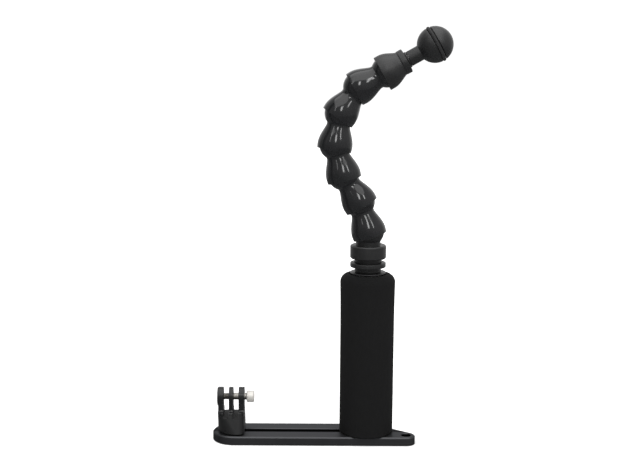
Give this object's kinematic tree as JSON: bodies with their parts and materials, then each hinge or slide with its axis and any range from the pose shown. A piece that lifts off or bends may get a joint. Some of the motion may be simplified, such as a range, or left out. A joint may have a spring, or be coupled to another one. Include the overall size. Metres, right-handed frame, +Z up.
{
  "type": "underwater camera tray",
  "caption": "Underwater camera tray: a slotted plate with a pronged action-camera mount, a foam handle and a flexible ball-and-socket arm that ends in a ball for a light.",
  "frame": {"origin": "middle of the whole object's underside, on the tray plate's lower face", "axes": "+Z up, +X along the plate from the camera mount to the handle, -Y towards the viewer's side, where the strap ear is"},
  "size_m": [0.168, 0.0394, 0.2968],
  "materials": {
    "black_anodised": "satin",
    "turned_aluminium": "satin",
    "black_plastic": "matte",
    "black_gloss_plastic": "gloss",
    "black_foam": "matte",
    "stainless_steel": "satin",
    "bright_steel": "gloss",
    "brass": "satin",
    "black_rubber": "matte"
  },
  "bodies": {
    "tray": {"tray_plate": "black_anodised", "handle_bolt": "stainless_steel", "handle_bolt_washer": "stainless_steel", "handle_core": "turned_aluminium", "foam_grip": "black_foam", "grip_end_cap": "black_plastic"},
    "mount_carriage": {"mount_bolt": "stainless_steel", "mount_bolt_washer": "stainless_steel"},
    "camera_mount": {"camera_mount": "black_plastic", "mount_insert": "brass", "prong_nut": "bright_steel"},
    "thumb_screw": {"thumb_screw": "bright_steel"},
    "arm_base": {"hose_base_connector": "black_plastic", "arm_stud": "stainless_steel"},
    "lock_ring": {"arm_lock_ring": "black_plastic"},
    "hose_1": {"hose_segment_1": "black_gloss_plastic"},
    "hose_2": {"hose_segment_2": "black_gloss_plastic"},
    "hose_3": {"hose_segment_3": "black_gloss_plastic"},
    "hose_4": {"hose_segment_4": "black_gloss_plastic"},
    "hose_5": {"hose_segment_5": "black_gloss_plastic"},
    "hose_6": {"hose_segment_6": "black_gloss_plastic"},
    "arm_end": {"hose_end_adapter": "black_plastic", "ball_screw": "stainless_steel", "ball_stem_washer": "black_plastic", "ball_mount": "black_plastic", "ball_ring": "black_rubber"}
  },
  "joints": [
    {"name": "mount_slide", "type": "slide", "parent": "tray", "child": "mount_carriage", "axis": [1, 0, 0], "range_m": [0, 0.058]},
    {"name": "mount_turn", "type": "hinge", "parent": "mount_carriage", "child": "camera_mount", "pos_m": [-0.07068, 0, 0.00665], "axis": [0, 0, 1], "continuous": true},
    {"name": "thumb_screw_turn", "type": "hinge", "parent": "camera_mount", "child": "thumb_screw", "pos_m": [-0.07068, 0, 0.03165], "axis": [1, 0, 0], "continuous": true},
    {"name": "arm_swivel", "type": "hinge", "parent": "tray", "child": "arm_base", "pos_m": [0.02702, 0, 0.12445], "axis": [0, 0, 1], "continuous": true},
    {"name": "lock_ring_turn", "type": "hinge", "parent": "arm_base", "child": "lock_ring", "pos_m": [0.02702, 0, 0.12795], "axis": [0, 0, 1], "continuous": true},
    {"name": "hose_joint_1", "type": "hinge", "parent": "arm_base", "child": "hose_1", "pos_m": [0.02702, 0, 0.15355], "axis": [0, 1, 0], "range_deg": [-6.5, 42.5]},
    {"name": "hose_joint_2", "type": "hinge", "parent": "hose_1", "child": "hose_2", "pos_m": [0.02019, 0, 0.17457], "axis": [0, 1, 0], "range_deg": [-14.5, 40.5]},
    {"name": "hose_joint_3", "type": "hinge", "parent": "hose_2", "child": "hose_3", "pos_m": [0.00881, 0, 0.19351], "axis": [0, 1, 0], "range_deg": [-43, 12]},
    {"name": "hose_joint_4", "type": "hinge", "parent": "hose_3", "child": "hose_4", "pos_m": [0.00291, 0, 0.21481], "axis": [0, 1, 0], "range_deg": [-52.5, 2.5]},
    {"name": "hose_joint_5", "type": "hinge", "parent": "hose_4", "child": "hose_5", "pos_m": [0.00655, 0, 0.23661], "axis": [0, 1, 0], "range_deg": [-53, 2]},
    {"name": "hose_joint_6", "type": "hinge", "parent": "hose_5", "child": "hose_6", "pos_m": [0.01923, 0, 0.25471], "axis": [0, 1, 0], "range_deg": [-53, 2]},
    {"name": "hose_joint_7", "type": "hinge", "parent": "hose_6", "child": "arm_end", "pos_m": [0.03846, 0, 0.26559], "axis": [0, 1, 0], "range_deg": [-27.5, 27.5]}
  ]
}
